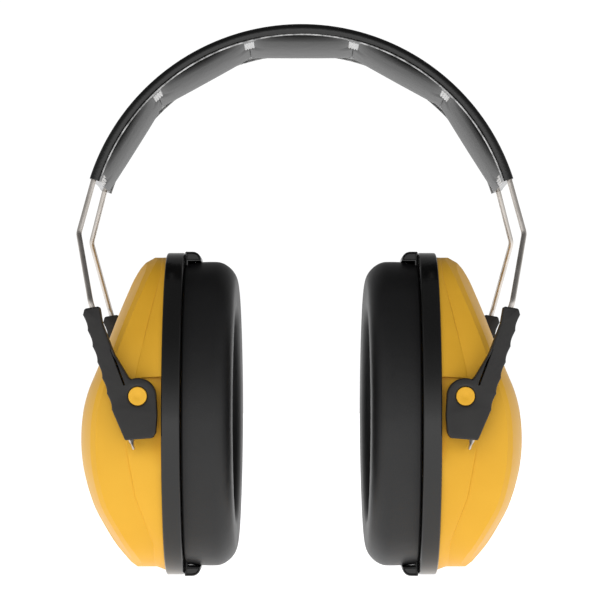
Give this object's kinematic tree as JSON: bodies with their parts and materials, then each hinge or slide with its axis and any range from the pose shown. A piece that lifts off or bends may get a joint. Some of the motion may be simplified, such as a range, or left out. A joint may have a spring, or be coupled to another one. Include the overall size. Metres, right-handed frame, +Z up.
{
  "type": "earmuff hearing protector",
  "caption": "Passive earmuff with domed yellow cups, foam-filled ear cushions, sliding black arms and a padded double-wire headband that springs open.",
  "frame": {"origin": "middle of the flat underside of the headband's centre pad, where it rests on the crown of the head", "axes": "+Z up, X from cup to cup with +X at the right in a front view, -Y the front"},
  "size_m": [0.1488, 0.0846, 0.1838],
  "materials": {
    "spring_wire": "drawn stainless spring wire, satin",
    "headband_vinyl": "black grained vinyl, glossy",
    "lining_vinyl": "black soft vinyl, semi-gloss",
    "foam": "open-cell polyurethane foam",
    "arm_plastic": "moulded black nylon, matte",
    "cup_plastic": "moulded yellow ABS, satin gloss",
    "ring_plastic": "moulded black plastic, glossy",
    "cushion_vinyl": "black leatherette, satin"
  },
  "bodies": {
    "headband": {"front_wire": "spring_wire", "rear_wire": "spring_wire", "headband_cover": "headband_vinyl", "headband_lining": "lining_vinyl", "crown_foam": "foam", "left_inner_foam": "foam", "right_inner_foam": "foam"},
    "left_flank": {"left_end_foam": "foam"},
    "left_front_slider": {"left_front_arm": "arm_plastic"},
    "left_rear_slider": {"left_rear_arm": "arm_plastic"},
    "left_cup": {"left_cup_shell": "cup_plastic", "left_acoustic_liner": "foam", "left_seal_ring": "ring_plastic", "left_cushion_plate": "ring_plastic", "left_cushion_cover": "cushion_vinyl", "left_cushion_foam": "foam"},
    "right_flank": {"right_end_foam": "foam"},
    "right_front_slider": {"right_front_arm": "arm_plastic"},
    "right_rear_slider": {"right_rear_arm": "arm_plastic"},
    "right_cup": {"right_cup_shell": "cup_plastic", "right_acoustic_liner": "foam", "right_seal_ring": "ring_plastic", "right_cushion_plate": "ring_plastic", "right_cushion_cover": "cushion_vinyl", "right_cushion_foam": "foam"}
  },
  "joints": [
    {"name": "left_spread", "type": "hinge", "parent": "headband", "child": "left_flank", "pos_m": [-0.0497, 0, -0.01473], "axis": [0, 1, 0], "range_deg": [0, 28], "stiffness_Nm_per_rad": 2.45, "deforming": ["front_wire", "rear_wire", "headband_cover", "headband_lining"]},
    {"name": "left_height", "type": "slide", "parent": "left_flank", "child": "left_front_slider", "axis": [-0.284, 0, 0.9588], "range_m": [-0.022, 0]},
    {"name": "left_rear_height", "type": "slide", "parent": "left_flank", "child": "left_rear_slider", "axis": [-0.284, 0, 0.9588], "range_m": [-0.022, 0]},
    {"name": "left_cup_tilt", "type": "hinge", "parent": "left_front_slider", "child": "left_cup", "pos_m": [-0.0528, 0, -0.117], "axis": [0, -1, 0], "range_deg": [-5, 20]},
    {"name": "right_spread", "type": "hinge", "parent": "headband", "child": "right_flank", "pos_m": [0.0497, 0, -0.01473], "axis": [0, -1, 0], "range_deg": [0, 28], "stiffness_Nm_per_rad": 2.45, "deforming": ["front_wire", "rear_wire", "headband_cover", "headband_lining"]},
    {"name": "right_height", "type": "slide", "parent": "right_flank", "child": "right_front_slider", "axis": [0.284, 0, 0.9588], "range_m": [-0.022, 0]},
    {"name": "right_rear_height", "type": "slide", "parent": "right_flank", "child": "right_rear_slider", "axis": [0.284, 0, 0.9588], "range_m": [-0.022, 0]},
    {"name": "right_cup_tilt", "type": "hinge", "parent": "right_front_slider", "child": "right_cup", "pos_m": [0.0528, 0, -0.117], "axis": [0, 1, 0], "range_deg": [-5, 20]}
  ],
  "couplings": [
    {"joint": "left_rear_height", "follows": "left_height", "ratio": 1},
    {"joint": "right_rear_height", "follows": "right_height", "ratio": 1}
  ]
}
